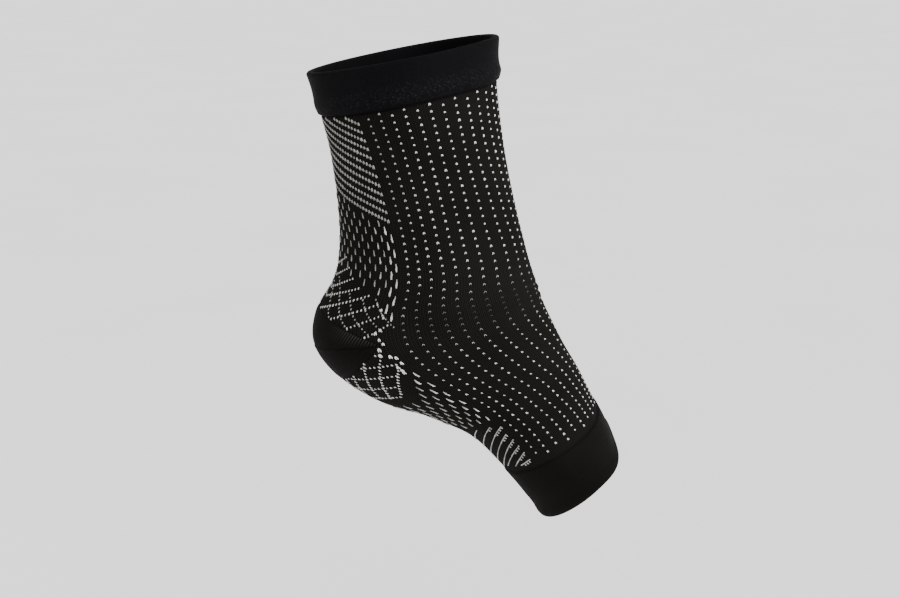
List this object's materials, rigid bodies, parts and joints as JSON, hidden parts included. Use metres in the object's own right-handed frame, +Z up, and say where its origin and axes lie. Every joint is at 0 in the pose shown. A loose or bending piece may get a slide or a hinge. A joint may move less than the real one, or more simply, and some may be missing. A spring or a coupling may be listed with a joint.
{
  "type": "toeless compression foot and ankle sleeve",
  "caption": "Worn-form knitted toeless foot and ankle sleeve with a plain top cuff, plain heel pocket, forefoot band and off-white dot and stripe pattern.",
  "frame": {"origin": "middle of the ankle inside the hollow, where the leg's axis meets the foot's axis", "axes": "+Z up the leg, +X toward the toes, -Y toward the inner side of the left ankle"},
  "size_m": [0.1377, 0.081, 0.2198],
  "materials": {
    "cuff_knit": "smooth dense black double-layer rib, faint sheen",
    "ground_knit": "matt black compression knit",
    "heel_knit": "matt black plain knit",
    "band_knit": "smooth dense black knit, faint sheen",
    "pattern_yarn": "off-white yarn stitches"
  },
  "bodies": {
    "root": {"top_cuff": "cuff_knit", "knit_sleeve": "ground_knit", "heel_pocket": "heel_knit", "forefoot_band": "band_knit"}
  },
  "joints": []
}
